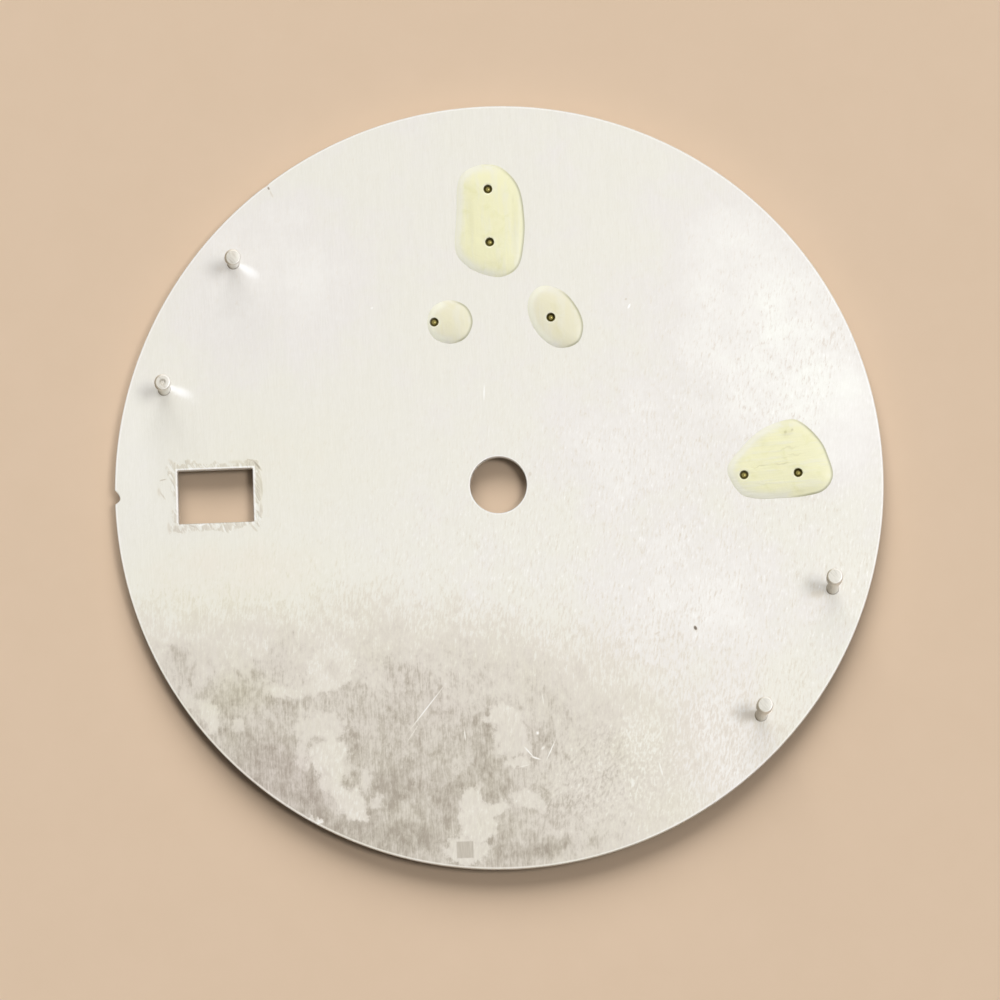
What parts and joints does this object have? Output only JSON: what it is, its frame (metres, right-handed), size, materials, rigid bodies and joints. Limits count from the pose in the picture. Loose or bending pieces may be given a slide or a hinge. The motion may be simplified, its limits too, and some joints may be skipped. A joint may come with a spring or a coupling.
{
  "type": "watch dial",
  "caption": "Round metal watch dial lying on its face: brushed back with feet, hand hole, date window and glue over the feet of the applied markers.",
  "frame": {"origin": "centre of the hand hole, in the plane of the back that seats on the movement", "axes": "+Z out of the back, +Y to twelve o'clock, +X to nine o'clock, so the date window is at -X and the printed front faces -Z"},
  "size_m": [0.0285, 0.0284, 0.0033],
  "materials": {
    "plated_plate": "nickel plated and brushed",
    "foot_wire": "plated wire, cut ends",
    "applied_metal": "polished and plated",
    "face_lacquer": "black gloss lacquer",
    "print": "white pad print",
    "luminous": "luminous paint, matt",
    "glue": "cured glue, pale yellow"
  },
  "bodies": {
    "root": {"dial_plate": "plated_plate", "face_lacquer": "face_lacquer", "minute_track": "print", "dial_foot_1h": "foot_wire", "dial_foot_2h": "foot_wire", "dial_foot_7h": "foot_wire", "dial_foot_8h": "foot_wire", "marker_12": "applied_metal", "marker_12_lume": "luminous", "marker_9": "applied_metal", "marker_9_lume": "luminous", "applied_bar": "applied_metal", "glue_pad_12": "glue", "glue_pad_9": "glue", "glue_pad_bar_left": "glue", "glue_pad_bar_right": "glue", "hour_bar_6": "luminous", "hour_plot_1": "luminous", "hour_plot_2": "luminous", "hour_plot_4": "luminous", "hour_plot_5": "luminous", "hour_plot_7": "luminous", "hour_plot_8": "luminous", "hour_plot_10": "luminous", "hour_plot_11": "luminous"}
  },
  "joints": []
}
